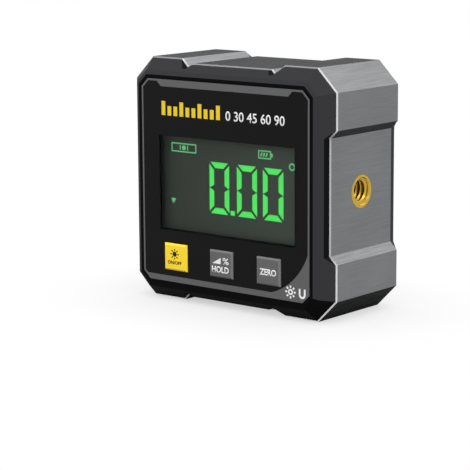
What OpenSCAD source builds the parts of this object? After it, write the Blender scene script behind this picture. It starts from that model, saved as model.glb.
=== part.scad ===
// Digital angle gauge: a magnetic bevel box with a lit display, three keys and a tripod thread.
// The face looks towards -Y. The origin is on the base, under the middle of the gauge.

/* [Body frame] */
// Width across the two side feet
body_w = 62; // [60:0.5:80]
// Height from base to top feet
body_h = 60; // [58:0.5:80]
// Depth of the metal frame, rim to rim
frame_depth = 24.7; // [23:0.1:34]
// Flat cut across each outer corner
corner_cut = 5.5; // [4:0.1:6.5]
// Length of a side foot, from the top or the base to its step
side_foot = 14.3; // [13.5:0.1:17]
// Length of a top or base foot, from the side to its step
end_foot = 15.3; // [14.5:0.1:18]
// Depth of the recess between the side feet
side_recess = 1.9; // [1:0.1:2.5]
// Depth of the grooves beside the top and base pads
groove_depth = 2; // [1.5:0.1:2.5]
// Width of the flat at the bottom of a groove
groove_floor = 0.8; // [0.4:0.1:3]
// How far the pads between the grooves lie below the feet
pad_drop = 1.1; // [0.5:0.1:1.4]
// Polished bevel round both rims
rim_bevel = 0.3; // [0.2:0.1:0.8]
// Wall of the frame at the recesses
frame_wall = 2.2; // [1.8:0.1:2.6]
// Flat across the inner corners of the frame
cavity_cut = 1.5; // [1:0.1:3]

/* [Front bezel] */
// Depth of the bezel in front of the rim
bezel_depth = 3.7; // [3.4:0.1:6]
// Slope of the left and right facets, measured across the face
bezel_side_slope = 3.3; // [2:0.1:3.6]
// Slope of the top and bottom facets
bezel_end_slope = 3.15; // [2:0.05:3.6]
// Slope of the corner facets
bezel_corner_slope = 2.8; // [2:0.1:3]
// Broken edge between the facets and the face
bezel_edge = 0.6; // [0.3:0.1:0.8]
// Flat band between that edge and the panel
bezel_band = 0.9; // [0.6:0.1:2]
// Wall behind the panel
bezel_wall = 1.1; // [0.9:0.1:1.6]
// Length of the lips that centre bezel and cover in the frame
lip_len = 2.2; // [1.5:0.1:3]
// Thickness of those lips
lip_t = 1.3; // [1:0.1:1.6]
// Clearance between a lip and the frame
lip_gap = 0.15; // [0.1:0.05:0.3]

/* [Front panel] */
// Thickness of the panel and the window
panel_t = 1; // [0.8:0.1:1.2]
// Flat across the corners of the panel
panel_cut = 2.05; // [1:0.05:4]
// Clearance round the panel
panel_gap = 0.1; // [0.05:0.05:0.2]

/* [Display] */
// Panel at the left and right of the display that shows
display_side = 4.4; // [3.9:0.1:7.9]
// Panel over the display that shows
display_head = 13.75; // [13:0.05:18]
// Distance from the keys up to the display that shows
display_gap = 3.2; // [2.8:0.05:5]
// Ledge of the bezel that the clear window sits on
window_ledge = 0.6; // [0.4:0.1:0.8]
// Clearance round the window
window_gap = 0.08; // [0.05:0.01:0.15]
// Thickness of the display glass, two plates
lcd_t = 2.2; // [1.8:0.1:2.6]
// Display glass beyond the shown field at the left and right
lcd_side = 1.5; // [1:0.1:2]
// Display glass beyond the shown field at the bottom
lcd_foot = 0.9; // [0.6:0.1:1.2]
// Contact ledge of the rear glass at the top
lcd_ledge = 3; // [2.6:0.1:3.6]
// Clearance round the display glass
lcd_gap = 0.15; // [0.1:0.05:0.25]
// Ribs that hold the display glass
lcd_rib = 0.8; // [0.6:0.1:1]
// Thickness of the light guide behind the display
guide_t = 2.2; // [1.8:0.1:3]
// Height of the rubber contact strip
strip_h = 2; // [1.5:0.1:2.2]

/* [Keys] */
// Panel between one key and the next
key_space = 7.3; // [6.8:0.1:8.4]
// Height of a key
key_h = 6.7; // [6:0.1:7]
// Panel from each side to the middle of the outer keys, before their shift
key_side = 11.4; // [10.9:0.1:12.3]
// Sideways place of the middle key
keys_x = -0.65; // [-0.8:0.05:0.8]
// Panel from its lower edge to the middle of the keys
key_foot = 6.4; // [5.6:0.05:6.6]
// How far a key stands out of the panel
key_proud = 0.5; // [0.3:0.1:1]
// Bevel round a key's face
key_edge = 0.4; // [0.2:0.05:0.6]
// Clearance round a key
key_gap = 0.15; // [0.1:0.05:0.25]
// Flange that keeps a key behind the wall
key_flange = 0.6; // [0.4:0.1:0.7]
// Thickness of that flange
key_flange_t = 0.8; // [0.6:0.1:1]
// Play between the flange and the wall at rest
key_play = 0.1; // [0.05:0.05:0.2]
// Travel of a key
key_travel = 0.5; // [0.3:0.1:0.6]

/* [Switches and board] */
// Side of a square switch housing
switch_w = 6; // [5:0.1:6.5]
// Room left between a pressed key and its switch
switch_room = 0.3; // [0.2:0.1:0.5]
// Diameter of a switch plunger
plunger_d = 3.4; // [2.5:0.1:3.6]
// Clearance round a plunger
plunger_gap = 0.1; // [0.05:0.05:0.2]
// How far a plunger reaches into its switch at rest
plunger_reach = 1.2; // [0.8:0.1:1.3]
// Thickness of the circuit board
board_t = 1.6; // [1:0.1:2]
// Clearance between the board and the lip
board_gap = 0.45; // [0.3:0.05:0.8]
// Side of the controller chip
chip_w = 9; // [7:0.5:12]
// Thickness of the controller chip
chip_t = 1.5; // [1:0.1:2]
// Pins on each side of the chip
chip_pins = 11; // [6:1:14]
// Side of the tilt sensor
sensor_w = 5; // [3:0.5:6]
// Thickness of the tilt sensor
sensor_t = 1.4; // [0.8:0.1:2]

/* [Rear cover] */
// Depth of the cover behind the rim
cover_depth = 3.1; // [2.9:0.1:5]
// Slope of the cover's facets, measured across the back
cover_slope = 4.1; // [3:0.1:4.2]
// Broken edge between the facets and the back
cover_edge = 0.4; // [0.2:0.1:0.6]

/* [Battery] */
// Diameter of a cell
cell_d = 10.5; // [10:0.1:10.7]
// Width of the gauge beyond each end of a cell
cell_room = 8.75; // [8.5:0.05:9]
// Distance between the two cells' axes
cell_pitch = 11; // [10.8:0.1:11.2]
// Clearance round a cell
cell_gap = 0.3; // [0.2:0.05:0.4]
// Floor of the battery tray
tray_floor = 1.2; // [1:0.1:1.6]
// Wall of the battery tray
tray_wall = 1; // [0.8:0.1:1.1]
// Sideways place of the tray's middle, clear of the tripod insert
tray_x = -1.3; // [-1.5:0.1:-1.2]
// Thickness of the contact strip metal
contact_t = 0.4; // [0.3:0.05:0.5]
// Width of a contact
contact_w = 8; // [6:0.5:9]
// Spring of a negative contact
contact_spring = 1.7; // [1.4:0.1:1.8]
// Bump of a positive contact
contact_bump = 0.6; // [0.4:0.1:0.8]
// Thickness of the battery door
door_t = 1.6; // [1.4:0.1:1.8]
// Clearance round the door
door_gap = 0.1; // [0.08:0.02:0.15]
// Width of the tongues along the door's edges
door_tongue = 1; // [0.6:0.1:1.1]
// Overlap of the door beyond the tray's opening
door_lap = 1.1; // [0.9:0.1:1.3]

/* [Magnets, insert and screws] */
// Diameter of a magnet
magnet_d = 7; // [5:0.5:7.5]
// Thickness of a magnet
magnet_t = 3; // [2:0.1:3.1]
// Clearance round a magnet
magnet_gap = 0.05; // [0.02:0.01:0.1]
// Outer diameter of the brass insert
insert_d = 8; // [7:0.1:9]
// Length of the brass insert
insert_len = 4.8; // [4.4:0.1:5]
// Diameter over the thread's crests, for a quarter-inch tripod screw
insert_bore = 5.1; // [4.9:0.05:5.4]
// Countersink at the mouth of the insert
insert_sink = 0.7; // [0.3:0.1:1]
// Diameter of the collar behind the wall
collar_d = 9.6; // [9.2:0.1:11]
// Diameter of a cover screw
screw_d = 2.4; // [2:0.1:2.6]
// Length of a cover screw under its head
screw_len = 12; // [9:0.5:14]
// Head diameter of a cover screw
screw_head_d = 4.4; // [4:0.1:4.6]
// Head height of a cover screw
screw_head_t = 1.8; // [1.4:0.1:2]
// Distance of a screw post's axis from the lip at its side
post_side = 3.05; // [2.95:0.05:3.15]
// Distance of a screw post's axis from the lip above or below it
post_end = 4.05; // [3.35:0.05:4.35]
// Diameter of a screw post
post_d = 5.5; // [5:0.1:5.6]
// Diameter of a board screw
board_screw_d = 1.8; // [1.6:0.1:2]
// Length of a board screw under its head
board_screw_len = 4.5; // [4:0.1:5]

/* [Hidden] */
$fn = 64;
eps = 0.01;
far = 200;

// Planes across the depth, front to back
y_key = -(key_proud + bezel_depth + frame_depth + cover_depth) / 2;
y_face = y_key + key_proud;
y_rim = y_face + bezel_depth;
y_rear_rim = y_rim + frame_depth;
y_back = y_rear_rim + cover_depth;
y_seat = y_face + panel_t;
y_wall = y_seat + bezel_wall;
y_flange = y_wall + key_play;
y_stem = y_flange + key_flange_t;
y_switch = y_stem + key_travel + switch_room;
y_guide = y_wall + lcd_t;
y_board = y_guide + guide_t;
y_board_back = y_board + board_t;
y_frame_mid = (y_rim + y_rear_rim) / 2;

// Sketches of the face are drawn about the middle of the height
mid_z = body_h / 2;
half_w = body_w / 2;
half_h = body_h / 2;

// Inside of the frame and of the lips
cavity_w = body_w - 2 * (side_recess + frame_wall);
cavity_h = body_h - 2 * (groove_depth + frame_wall);
lip_w = cavity_w - 2 * lip_gap;
lip_h = cavity_h - 2 * lip_gap;
inner_w = lip_w - 2 * lip_t;
inner_h = lip_h - 2 * lip_t;

// Inner side of the bevelled rings, inside the frame's walls
ring_inset = 2 * rim_bevel;

// Half reach of the rims across the sides, the ends and the corners
side_reach = half_w - rim_bevel;
end_reach = half_h - rim_bevel;
corner_reach = (half_w + half_h - corner_cut) / sqrt(2) - rim_bevel;

// Panel, with the keys at its foot and the display above them
panel_w = 2 * (side_reach - bezel_side_slope - bezel_edge - bezel_band);
panel_h = 2 * (end_reach - bezel_end_slope - bezel_edge - bezel_band);
key_pitch = panel_w / 2 - key_side;
key_w = key_pitch - key_space;
keys_z = key_foot - panel_h / 2;
display_w = panel_w - 2 * display_side;
display_z0 = keys_z + key_h / 2 + display_gap;
display_z1 = panel_h / 2 - display_head;
display_h = display_z1 - display_z0;
display_z = (display_z0 + display_z1) / 2;

// Display glass
lcd_w = display_w + 2 * lcd_side;
lcd_z0 = display_z0 - lcd_foot;
lcd_z1 = display_z1 + lcd_ledge;
lcd_h = lcd_z1 - lcd_z0;
lcd_z = (lcd_z0 + lcd_z1) / 2;
lcd_rib_depth = 0.8 * lcd_t;
strip_z = lcd_z1 - strip_h / 2;
guide_z1 = lcd_z1 - strip_h - lcd_gap;
guide_margin = 1;

// Keys and switches
KEYS = ["power", "hold", "zero"];
KEY_COLOURS = ["#f2d51c", "#6e6e6e", "#6e6e6e"];
plunger_room = 0.2;
switch_cut = 0.6;
switch_bore = y_switch + plunger_reach + key_travel + plunger_room;
plunger_r = plunger_d / 2;

// Board and its screws
board_w = inner_w - 2 * board_gap;
board_h = inner_h - 2 * board_gap;
post_r = post_d / 2;
post_room = 0.25;
boss_r = 2.2;
boss_floor = 0.6;
board_screw_r = board_screw_d / 2;
board_head_r = 1.8;
board_head_t = 1.2;
boss_side = 11.45;
boss_end = 4.85;
boss_top_x = inner_w / 2 - boss_side;
boss_top_z = inner_h / 2 - boss_end;
BOSSES = [
    [-boss_top_x, boss_top_z],
    [boss_top_x, boss_top_z],
    [keys_x - key_pitch / 2, keys_z],
    [keys_x + key_pitch / 2, keys_z]
];
chip_place = [-9, 6];
sensor_place = [10, -6];
chip_cut = 0.5;
sensor_cut = 0.3;
pin_span = 0.85 * chip_w;
pin_len = 1;
pin_w = 0.35;
pin_t = 0.3;

// Posts between bezel and cover
post_x = inner_w / 2 - post_side;
post_z = inner_h / 2 - post_end;
POSTS = [for (sx = [-1, 1], sz = [-1, 1]) [sx * post_x, sz * post_z]];
screw_r = screw_d / 2;
screw_slack = 0.05;
hole_slack = 0.3;
screw_sunk = 0.4;
y_screw_seat = y_back - screw_sunk - screw_head_t;
cover_boss = 3;
y_post = y_rear_rim - cover_boss;
y_screw_tip = y_screw_seat - screw_len;
drive_w = 0.7;
drive_share = 1.2;
drive_depth = 1;

// Battery door and tray
y_floor = y_back - door_t - door_gap;
cell_len = body_w - 2 * cell_room;
cell_r = cell_d / 2;
y_cell = y_floor - cell_gap - cell_r;
y_tray = y_cell - cell_r - cell_gap;
y_tray_out = y_tray - tray_floor;
tray_len = cell_len + contact_t + contact_bump + contact_t + contact_spring;
tray_x0 = tray_x - tray_len / 2;
tray_x1 = tray_x + tray_len / 2;
tray_half = cell_pitch / 2 + cell_r + cell_gap;
contact_room = 0.2;
tray_end = contact_t + contact_spring + contact_room;
opening_x0 = tray_x0 + contact_t + contact_bump - contact_room;
opening_x1 = tray_x1 - contact_t;
door_half = tray_half + door_lap;
door_x0 = opening_x0 - door_lap;
tongue_t = door_t / 2;
grip_count = 4;
grip_pitch = 1.8;
grip_w = 0.8;
grip_depth = 0.4;
grip_side = 8;
grip_x = side_reach - cover_slope - cover_edge - grip_side;
grip_h = 12;
cell_nub_r = 1.9;
cell_nub = 0.8;
cell_edge = 0.4;
contact_y0 = y_tray + 2 * contact_room;
contact_y1 = y_rear_rim - contact_room;
tongue_end = 1;
tail_w = 1.6;

// Magnets: name, sideways place, height over the middle, turn about the depth axis
foot_mid_x = half_w - (end_foot + corner_cut) / 2;
foot_mid_z = half_h - (side_foot + corner_cut) / 2;
MAGNETS = [
    ["magnet_top_left", [-foot_mid_x, cavity_h / 2], 0],
    ["magnet_top_right", [foot_mid_x, cavity_h / 2], 0],
    ["magnet_base_left", [-foot_mid_x, -cavity_h / 2], 180],
    ["magnet_base_right", [foot_mid_x, -cavity_h / 2], 180],
    ["magnet_left_upper", [-cavity_w / 2, foot_mid_z], -90],
    ["magnet_left_lower", [-cavity_w / 2, -foot_mid_z], -90],
    ["magnet_right_upper", [cavity_w / 2, foot_mid_z], 90],
    ["magnet_right_lower", [cavity_w / 2, -foot_mid_z], 90]
];

// Brass insert
insert_x = half_w - side_recess;
insert_slack = 0.05;
collar_t = 1.4;

// One quarter of the frame's section, moved inwards by e, from the top pad to the side recess
function quarter(e) =
    let (
        t = e * (sqrt(2) - 1),
        groove_x = half_w - end_foot - groove_depth,
        rise_x = groove_x - groove_floor,
        pad_x = rise_x - (groove_depth - pad_drop)
    )
    [
        [pad_x - t, half_h - pad_drop - e],
        [rise_x - t, half_h - groove_depth - e],
        [groove_x + t, half_h - groove_depth - e],
        [half_w - end_foot + t, half_h - e],
        [half_w - corner_cut - t, half_h - e],
        [half_w - e, half_h - corner_cut - t],
        [half_w - e, half_h - side_foot + t],
        [half_w - side_recess - e, half_h - side_foot - side_recess + t]
    ];

function flipped(points) = [for (i = [len(points) - 1:-1:0]) points[i]];

// The whole section: the quarter mirrored round both axes
function outline(e) =
    let (q = quarter(e))
    concat(
        q,
        [for (p = flipped(q)) [p[0], -p[1]]],
        [for (p = q) [-p[0], -p[1]]],
        [for (p = flipped(q)) [-p[0], p[1]]]
    );

// Section of a sloped block: wide at the rim, narrow at the face, with a broken edge
function slope_section(base, slope, y0, y1, edge) =
    let (
        face = base - slope,
        run = [slope, y0 - y1],
        corner = [face, y1] + run * (edge / norm(run))
    )
    [
        [base, y0], corner, [face - edge, y1],
        [edge - face, y1], [-corner[0], corner[1]], [-base, y0]
    ];

// Sketch of the face, drawn back from y0 to y1
module face_extrude(y0, y1) {
    translate([0, y1, mid_z])
        rotate([90, 0, 0])
            linear_extrude(y1 - y0)
                children();
}

// Sketch of depth and height, drawn from x0 to x1
module side_extrude(x0, x1) {
    translate([x0, 0, mid_z])
        rotate([90, 0, 90])
            linear_extrude(x1 - x0)
                children();
}

// Sketch of width and depth, drawn long and turned about the depth axis
module turned_extrude(angle) {
    translate([0, 0, mid_z])
        rotate([0, angle, 0])
            translate([0, 0, -far / 2])
                linear_extrude(far)
                    children();
}

// Round bar along the depth, at a place on the face
module depth_rod(place, r, y0, y1) {
    translate([place[0], y1, mid_z + place[1]])
        rotate([90, 0, 0])
            cylinder(r = r, h = y1 - y0);
}

// Rectangle with its corners cut
module cut_rectangle(w, h, cut) {
    polygon([
        [w / 2 - cut, h / 2], [w / 2, h / 2 - cut], [w / 2, cut - h / 2], [w / 2 - cut, -h / 2],
        [cut - w / 2, -h / 2], [-w / 2, cut - h / 2], [-w / 2, h / 2 - cut], [cut - w / 2, h / 2]
    ]);
}

// Bevelled ring round a rim: the section at inset e0 drawn to inset e1, with a plain inner side
module rim_ring(y0, y1, e0, e1) {
    loops = [[e0, y0], [e1, y1], [ring_inset, y1], [ring_inset, y0]];
    n = len(outline(0));
    points = [for (l = loops, p = outline(l[0])) [p[0], l[1], mid_z + p[1]]];
    faces = [
        for (k = [0:3], i = [0:n - 1])
            let (a = k * n, b = (k + 1) % 4 * n, j = (i + 1) % n)
            [a + i, b + i, b + j, a + j]
    ];
    polyhedron(points, faces);
}

// Block with the frame's section and sloped facets on eight sides
module faceted_block(y0, y1, side_slope, end_slope, corner_slope, edge) {
    intersection() {
        face_extrude(min(y0, y1), max(y0, y1)) polygon(outline(rim_bevel));
        turned_extrude(0) polygon(slope_section(side_reach, side_slope, y0, y1, edge));
        turned_extrude(90) polygon(slope_section(end_reach, end_slope, y0, y1, edge));
        turned_extrude(45) polygon(slope_section(corner_reach, corner_slope, y0, y1, edge));
        turned_extrude(-45) polygon(slope_section(corner_reach, corner_slope, y0, y1, edge));
    }
}

module rear_block() {
    faceted_block(y_rear_rim, y_back, cover_slope, cover_slope, cover_slope, cover_edge);
}

// Lip that centres a moulding in the frame
module lip(y0, y1) {
    face_extrude(y0, y1) difference() {
        cut_rectangle(lip_w, lip_h, cavity_cut);
        cut_rectangle(inner_w, inner_h, cavity_cut);
    }
}

// Field of the display on the face, with a margin all round
module display_field(margin) {
    translate([-display_w / 2 - margin, display_z - display_h / 2 - margin])
        square([display_w + 2 * margin, display_h + 2 * margin]);
}

// The keys' outlines on the face, with a margin all round
module key_fields(margin) {
    for (i = [-1:1])
        translate([keys_x + i * key_pitch, keys_z])
            square([key_w + 2 * margin, key_h + 2 * margin], center = true);
}

// T-shaped way of the battery door across the back, open to the right
module door_way(x0, y0, gap) {
    y_step = y0 + tongue_t + 2 * gap;
    half = door_half + gap;
    wide = half + door_tongue;
    side_extrude(x0, far / 2) polygon([
        [y0, -wide], [y_step, -wide], [y_step, -half], [y_back + 1, -half],
        [y_back + 1, half], [y_step, half], [y_step, wide], [y0, wide]
    ]);
}

// A magnet, or with a gap its pocket, at a foot
module magnet_shape(place, turn, gap) {
    translate([place[0], y_frame_mid, mid_z + place[1]])
        rotate([0, turn, 0])
            translate([0, 0, -gap])
                cylinder(d = magnet_d + 2 * gap, h = magnet_t + 2 * gap);
}

module body_frame() color("#7d7d7d") {
    difference() {
        union() {
            face_extrude(y_rim, y_rear_rim) polygon(outline(rim_bevel));
            face_extrude(y_rim + rim_bevel, y_rear_rim - rim_bevel) polygon(outline(0));
            rim_ring(y_rim, y_rim + rim_bevel, rim_bevel, 0);
            rim_ring(y_rear_rim - rim_bevel, y_rear_rim, 0, rim_bevel);
        }
        face_extrude(y_rim - 1, y_rear_rim + 1) cut_rectangle(cavity_w, cavity_h, cavity_cut);
        for (m = MAGNETS) magnet_shape(m[1], m[2], magnet_gap);
        translate([0, y_frame_mid, mid_z])
            rotate([0, 90, 0])
                cylinder(d = insert_d + 2 * insert_slack, h = far);
    }
}

module front_bezel() color("#1e1e1e") {
    difference() {
        union() {
            difference() {
                union() {
                    faceted_block(
                        y_rim, y_face, bezel_side_slope, bezel_end_slope, bezel_corner_slope, bezel_edge
                    );
                    lip(y_rim - eps, y_rim + lip_len);
                }
                face_extrude(y_wall, y_rim + lip_len + 1) cut_rectangle(inner_w, inner_h, cavity_cut);
            }
            face_extrude(y_wall - eps, y_wall + lcd_rib_depth) translate([0, lcd_z]) difference() {
                square([lcd_w + 2 * (lcd_gap + lcd_rib), lcd_h + 2 * (lcd_gap + lcd_rib)], center = true);
                square([lcd_w + 2 * lcd_gap, lcd_h + 2 * lcd_gap], center = true);
            }
            for (p = POSTS) depth_rod(p, post_r, y_wall - eps, y_post);
            for (p = BOSSES) depth_rod(p, boss_r, y_wall - eps, y_board);
        }
        face_extrude(y_face - 1, y_seat)
            cut_rectangle(panel_w + 2 * panel_gap, panel_h + 2 * panel_gap, panel_cut);
        face_extrude(y_face, y_wall + eps) display_field(0);
        face_extrude(y_face, y_wall + eps) key_fields(key_gap);
        for (p = POSTS) depth_rod(p, screw_r + screw_slack, y_screw_tip - 1, y_post + 1);
        for (p = BOSSES) depth_rod(p, board_screw_r + screw_slack, y_wall + boss_floor, y_board + 1);
    }
}

module front_panel() color("#202020") {
    face_extrude(y_face, y_seat) difference() {
        cut_rectangle(panel_w, panel_h, panel_cut);
        display_field(window_ledge + window_gap);
        key_fields(key_gap);
    }
}

module display_window() color("#9fb0a8") {
    face_extrude(y_face, y_seat) display_field(window_ledge);
}

// A key: bevelled cap, and a flange behind the wall
module key(i) {
    translate([keys_x + i * key_pitch, 0, keys_z]) color(KEY_COLOURS[i + 1]) union() {
        intersection() {
            turned_extrude(0) polygon([
                [-key_w / 2, y_flange + eps], [-key_w / 2, y_key + key_edge], [key_edge - key_w / 2, y_key],
                [key_w / 2 - key_edge, y_key], [key_w / 2, y_key + key_edge], [key_w / 2, y_flange + eps]
            ]);
            turned_extrude(90) polygon([
                [-key_h / 2, y_flange + eps], [-key_h / 2, y_key + key_edge], [key_edge - key_h / 2, y_key],
                [key_h / 2 - key_edge, y_key], [key_h / 2, y_key + key_edge], [key_h / 2, y_flange + eps]
            ]);
        }
        face_extrude(y_flange, y_stem)
            square([key_w + 2 * key_flange, key_h + 2 * key_flange], center = true);
    }
}

module plunger(i) color("#b03030") {
    depth_rod([keys_x + i * key_pitch, keys_z], plunger_r, y_stem, y_switch + plunger_reach);
}

module switch_housing(i) color("#303030") {
    difference() {
        face_extrude(y_switch, y_board)
            translate([keys_x + i * key_pitch, keys_z])
                cut_rectangle(switch_w, switch_w, switch_cut);
        depth_rod([keys_x + i * key_pitch, keys_z], plunger_r + plunger_gap, y_switch - 1, switch_bore);
    }
}

module thread_insert() color("#c8961e") {
    translate([insert_x - insert_len, y_frame_mid, mid_z])
        rotate([0, 90, 0])
            rotate_extrude()
                polygon([
                    [insert_bore / 2, 0],
                    [collar_d / 2, 0],
                    [collar_d / 2, collar_t],
                    [insert_d / 2, collar_t],
                    [insert_d / 2, insert_len],
                    [insert_bore / 2 + insert_sink, insert_len],
                    [insert_bore / 2, insert_len - insert_sink]
                ]);
}

// Space for the cells and their contacts
module tray_space() {
    for (s = [-1, 1]) translate([0, 0, mid_z + s * cell_pitch / 2]) {
        translate([tray_x0, y_cell, 0])
            rotate([0, 90, 0])
                cylinder(r = cell_r + cell_gap, h = tray_len);
        translate([tray_x0, y_cell, -cell_r - cell_gap])
            cube([tray_len, y_rear_rim - y_cell, 2 * (cell_r + cell_gap)]);
    }
    for (x = [tray_x0, tray_x1 - tray_end])
        translate([x, y_tray, mid_z - tray_half])
            cube([tray_end, y_rear_rim - y_tray, 2 * tray_half]);
    translate([opening_x0, y_rear_rim - eps, mid_z - tray_half])
        cube([opening_x1 - opening_x0, y_back - y_rear_rim, 2 * tray_half]);
}

module rear_cover() color("#1c1c1c") {
    difference() {
        union() {
            rear_block();
            lip(y_rear_rim - lip_len, y_rear_rim + eps);
            translate([tray_x0 - tray_wall, y_tray_out, mid_z - tray_half - tray_wall])
                cube([tray_len + 2 * tray_wall, y_rear_rim + eps - y_tray_out, 2 * (tray_half + tray_wall)]);
            for (p = POSTS) depth_rod(p, post_r, y_post, y_rear_rim + eps);
        }
        tray_space();
        door_way(door_x0 - door_gap, y_floor, door_gap);
        for (p = POSTS) {
            depth_rod(p, screw_r + hole_slack, y_post - 1, y_back);
            depth_rod(p, screw_head_d / 2 + hole_slack, y_screw_seat, y_back + 1);
        }
        for (s = [-1, 1])
            translate([tray_x1 - 2 * contact_t, y_tray_out - 1, mid_z + s * cell_pitch / 2 - tail_w])
                cube([2 * contact_t, tray_floor + 2, 2 * tail_w]);
    }
}

module battery_door() color("#242424") {
    difference() {
        intersection() {
            rear_block();
            door_way(door_x0, y_floor + door_gap, 0);
        }
        for (i = [0:grip_count - 1])
            translate([grip_x + i * grip_pitch, y_back - grip_depth, mid_z - grip_h / 2])
                cube([grip_w, 1, grip_h]);
    }
}

// Two glass plates, the rear one taller by its contact ledge
module lcd_cell() color("#4a524c") {
    face_extrude(y_wall, y_wall + lcd_t / 2)
        translate([-lcd_w / 2, lcd_z0])
            square([lcd_w, lcd_h - strip_h - lcd_gap]);
    face_extrude(y_wall + lcd_t / 2, y_guide)
        translate([-lcd_w / 2, lcd_z0])
            square([lcd_w, lcd_h]);
}

module light_guide() color("#d8e8d8") {
    face_extrude(y_guide, y_board)
        translate([guide_margin - lcd_w / 2, lcd_z0])
            square([lcd_w - 2 * guide_margin, guide_z1 - lcd_z0]);
}

module connector_strip() color("#d88a8a") {
    face_extrude(y_guide, y_board)
        translate([0, strip_z])
            square([lcd_w - 2 * guide_margin, strip_h], center = true);
}

module main_board() color("#1f6b3a") {
    notch_x = post_x - post_r - post_room;
    notch_z = post_z - post_r - post_room;
    difference() {
        face_extrude(y_board, y_board_back) difference() {
            square([board_w, board_h], center = true);
            for (sx = [0, 1], sz = [0, 1])
                mirror([sx, 0]) mirror([0, sz])
                    translate([notch_x, notch_z])
                        square([far, far]);
        }
        for (p = BOSSES) depth_rod(p, board_screw_r + hole_slack, y_board - 1, y_board_back + 1);
    }
}

module controller_chip() color("#151515") {
    translate([chip_place[0], 0, chip_place[1]]) {
        face_extrude(y_board_back, y_board_back + chip_t)
            cut_rectangle(chip_w, chip_w, chip_cut);
        for (turn = [0, 90], i = [0:chip_pins - 1])
            translate([0, 0, mid_z])
                rotate([0, turn, 0])
                    translate([
                        (i / (chip_pins - 1) - 0.5) * (pin_span - pin_w) - pin_w / 2,
                        y_board_back,
                        -chip_w / 2 - pin_len
                    ])
                        cube([pin_w, pin_t, chip_w + 2 * pin_len]);
    }
}

module tilt_sensor() color("#3a3a3a") {
    translate([sensor_place[0], 0, sensor_place[1]])
        face_extrude(y_board_back, y_board_back + sensor_t)
            cut_rectangle(sensor_w, sensor_w, sensor_cut);
}

// A cell along the width, its terminal to the right
module cell() {
    rotate([0, 90, 0])
        rotate_extrude()
            polygon([
                [0, 0], [cell_r - cell_edge, 0], [cell_r, cell_edge],
                [cell_r, cell_len - cell_nub - cell_edge], [cell_r - cell_edge, cell_len - cell_nub],
                [cell_nub_r, cell_len - cell_nub], [cell_nub_r, cell_len], [0, cell_len]
            ]);
}

module cell_upper() color("#3b6ea5") {
    translate([tray_x0 + contact_t + contact_spring, y_cell, mid_z + cell_pitch / 2]) cell();
}

module cell_lower() color("#3b6ea5") {
    translate([tray_x1 - contact_t - contact_spring, y_cell, mid_z - cell_pitch / 2])
        mirror([1, 0, 0])
            cell();
}

// A contact tongue at a wall, standing out by its reach towards the cell
module contact_tongue(reach) {
    rise = (contact_y1 - contact_y0) / 2 - tongue_end;
    translate([0, 0, -contact_w / 2])
        linear_extrude(contact_w)
            polygon([
                [0, contact_y0], [contact_t, contact_y0], [contact_t, y_cell - rise],
                [contact_t + reach, y_cell], [contact_t, y_cell + rise], [contact_t, contact_y1],
                [0, contact_y1], [0, y_cell + rise], [reach, y_cell], [0, y_cell - rise]
            ]);
}

// A terminal contact at the right wall, with a tail down to the board
module terminal(s, reach) color("#c9c9c4") {
    translate([tray_x1, 0, mid_z + s * cell_pitch / 2]) mirror([1, 0, 0]) {
        contact_tongue(reach);
        translate([0, y_board_back, -tail_w / 2])
            cube([contact_t, contact_y0 + tongue_end - y_board_back, tail_w]);
    }
}

module contact_positive() {
    terminal(1, contact_bump);
}

module contact_negative() {
    terminal(-1, contact_spring);
}

module contact_bridge() color("#c9c9c4") {
    translate([tray_x0, 0, mid_z]) {
        translate([0, 0, cell_pitch / 2]) contact_tongue(contact_spring);
        translate([0, 0, -cell_pitch / 2]) contact_tongue(contact_bump);
        translate([0, contact_y1 - tongue_end, -cell_pitch / 2])
            cube([contact_t, tongue_end, cell_pitch]);
    }
}

module magnet(m) color("#b8b8bc") {
    magnet_shape(m[1], m[2], 0);
}

// A screw along the depth: pan head with a cross drive, and a plain shank
module screw(place, y_under_head, r, length, head_r, head_t) {
    difference() {
        union() {
            depth_rod(place, r, y_under_head - length, y_under_head + eps);
            depth_rod(place, head_r, y_under_head, y_under_head + head_t);
        }
        for (turn = [0, 90])
            translate([place[0], y_under_head + head_t, mid_z + place[1]])
                rotate([0, turn, 0])
                    cube([drive_share * head_r, drive_depth, drive_w], center = true);
    }
}

module cover_screws() color("#8c8c8c") {
    for (p = POSTS) screw(p, y_screw_seat, screw_r, screw_len, screw_head_d / 2, screw_head_t);
}

module board_screws() color("#a0a0a0") {
    for (p = BOSSES)
        screw(p, y_board_back, board_screw_r, board_screw_len, board_head_r, board_head_t);
}

body_frame();
front_bezel();
front_panel();
display_window();
for (i = [0:2]) {
    key(i - 1);
    plunger(i - 1);
    switch_housing(i - 1);
}
thread_insert();
rear_cover();
battery_door();
lcd_cell();
light_guide();
connector_strip();
main_board();
controller_chip();
tilt_sensor();
cell_upper();
cell_lower();
contact_positive();
contact_negative();
contact_bridge();
for (m = MAGNETS) {
    magnet(m);
}
cover_screws();
board_screws();
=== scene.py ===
"""Digital angle gauge: finishes, panel print, lit display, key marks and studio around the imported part."""

import math

import bmesh
import bpy
from bpy.props import FloatProperty, FloatVectorProperty, PointerProperty
from mathutils import Matrix, Vector


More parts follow.
